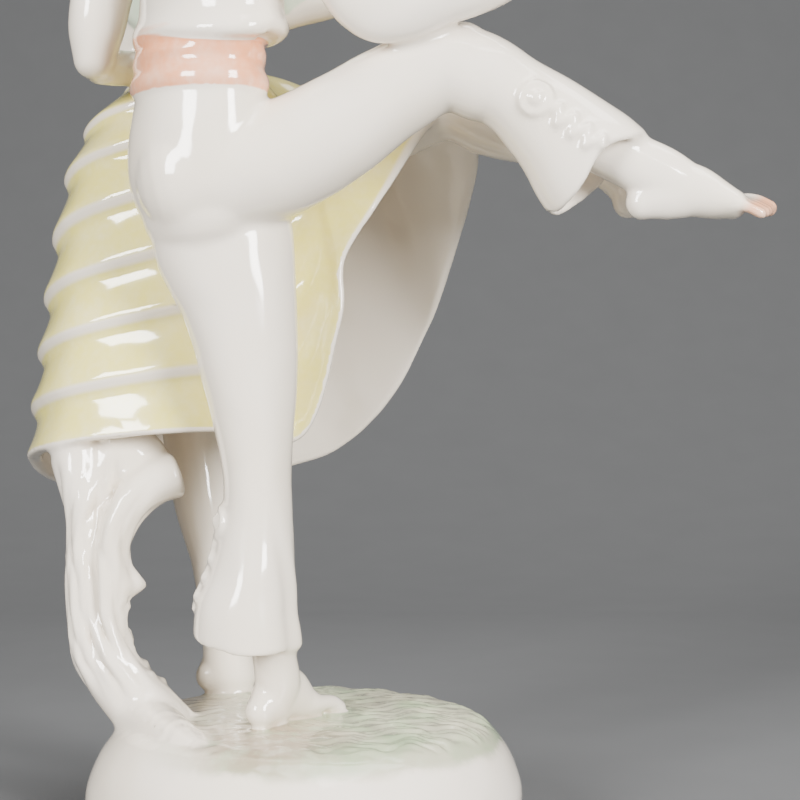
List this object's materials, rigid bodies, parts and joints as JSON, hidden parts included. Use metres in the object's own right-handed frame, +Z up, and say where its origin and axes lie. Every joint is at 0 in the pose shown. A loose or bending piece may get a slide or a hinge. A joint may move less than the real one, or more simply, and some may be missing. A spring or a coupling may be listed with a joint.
{
  "type": "porcelain dancer figurine",
  "caption": "Fired porcelain group of dancers with raised leg and arm, in wide trousers and a tiered skirt, standing on a round mound with a tree stump that holds up the skirt.",
  "frame": {"origin": "centre of the flat underside of the mound", "axes": "+Z up out of the mound; +X the way the raised legs and arms point; +Y from the dancer in trousers to the dancer in the skirt"},
  "size_m": [0.2405, 0.1487, 0.372],
  "materials": {
    "glazed_porcelain": "clear gloss glaze over white porcelain, painted in pale yellow, coral and green"
  },
  "bodies": {
    "root": {"dancing_pair": "glazed_porcelain"}
  },
  "joints": []
}
